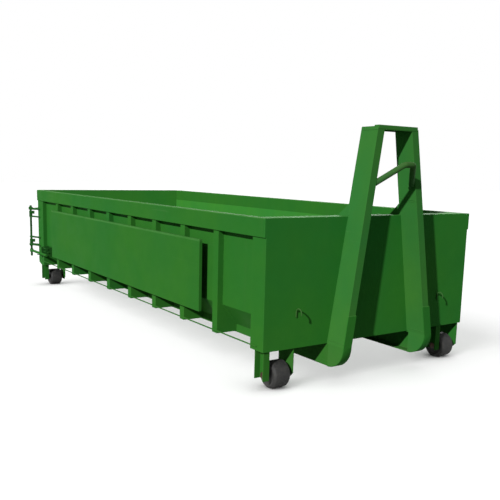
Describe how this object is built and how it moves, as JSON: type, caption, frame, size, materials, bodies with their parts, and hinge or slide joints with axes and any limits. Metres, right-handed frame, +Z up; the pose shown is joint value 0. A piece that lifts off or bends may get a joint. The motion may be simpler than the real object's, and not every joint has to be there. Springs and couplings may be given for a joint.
{
  "type": "hook lift container",
  "caption": "Open-top steel roll-off container with a lifting hook frame, ribbed sides, skid beams, floor rollers and a rear swing door with a lever lock.",
  "frame": {"origin": "on the floor, below the middle of the box that holds the whole part at rest", "axes": "+X towards the hook frame, the front when it is lifted; +Y to its left; +Z up"},
  "size_m": [6.456, 2.6118, 2.185],
  "materials": {
    "green_paint": "satin green paint, lightly worn",
    "board_paint": "satin green paint",
    "roller_dark": "dark, dusty",
    "axle_steel": "greased steel"
  },
  "bodies": {
    "container": {"floor_plate": "green_paint", "side_sheet_left": "green_paint", "side_sheet_right": "green_paint", "front_plate": "green_paint", "front_header": "green_paint", "front_sill": "green_paint", "rear_sill": "green_paint", "top_rail_left": "green_paint", "top_rail_right": "green_paint", "front_post_left": "green_paint", "front_post_right": "green_paint", "rear_post_left": "green_paint", "rear_post_right": "green_paint", "side_ribs_left": "green_paint", "side_ribs_right": "green_paint", "cross_members": "green_paint", "floor_edge_left": "green_paint", "floor_edge_right": "green_paint", "skid_beam_left": "green_paint", "skid_beam_right": "green_paint", "hook_leg_left": "green_paint", "hook_leg_right": "green_paint", "leg_shoe_left": "green_paint", "leg_shoe_right": "green_paint", "hook_gussets": "green_paint", "hook_crossbar": "green_paint", "hook_bow": "green_paint", "side_board_left": "board_paint", "side_board_right": "board_paint", "lashing_rails": "green_paint", "rope_hooks": "green_paint", "front_roller_brackets": "green_paint", "rear_roller_brackets": "green_paint", "roller_axles": "axle_steel", "hinge_rod": "green_paint", "lock_bearings": "green_paint"},
    "roller_front_left": {"roller_front_left": "roller_dark"},
    "roller_front_right": {"roller_front_right": "roller_dark"},
    "roller_rear_left": {"roller_rear_left": "roller_dark"},
    "roller_rear_right": {"roller_rear_right": "roller_dark"},
    "door": {"door_sheet": "green_paint", "door_frame": "green_paint", "door_hinges": "green_paint"},
    "lock": {"lock_shaft": "green_paint", "lock_lever": "green_paint"}
  },
  "joints": [
    {"name": "roller_front_left_spin", "type": "hinge", "parent": "container", "child": "roller_front_left", "pos_m": [2.793, 1.03, 0.116], "axis": [0, 1, 0], "continuous": true},
    {"name": "roller_front_right_spin", "type": "hinge", "parent": "container", "child": "roller_front_right", "pos_m": [2.793, -1.01, 0.116], "axis": [0, 1, 0], "continuous": true},
    {"name": "roller_rear_left_spin", "type": "hinge", "parent": "container", "child": "roller_rear_left", "pos_m": [-2.957, 1.03, 0.116], "axis": [0, 1, 0], "continuous": true},
    {"name": "roller_rear_right_spin", "type": "hinge", "parent": "container", "child": "roller_rear_right", "pos_m": [-2.957, -1.01, 0.116], "axis": [0, 1, 0], "continuous": true},
    {"name": "door_swing", "type": "hinge", "parent": "container", "child": "door", "pos_m": [-3.202, 1.28, 0.9], "axis": [0, 0, -1], "range_deg": [0, 270]},
    {"name": "lock_lever_swing", "type": "hinge", "parent": "container", "child": "lock", "pos_m": [-3.202, -1.28, 0.768], "axis": [0, 0, -1], "range_deg": [0, 110]}
  ]
}
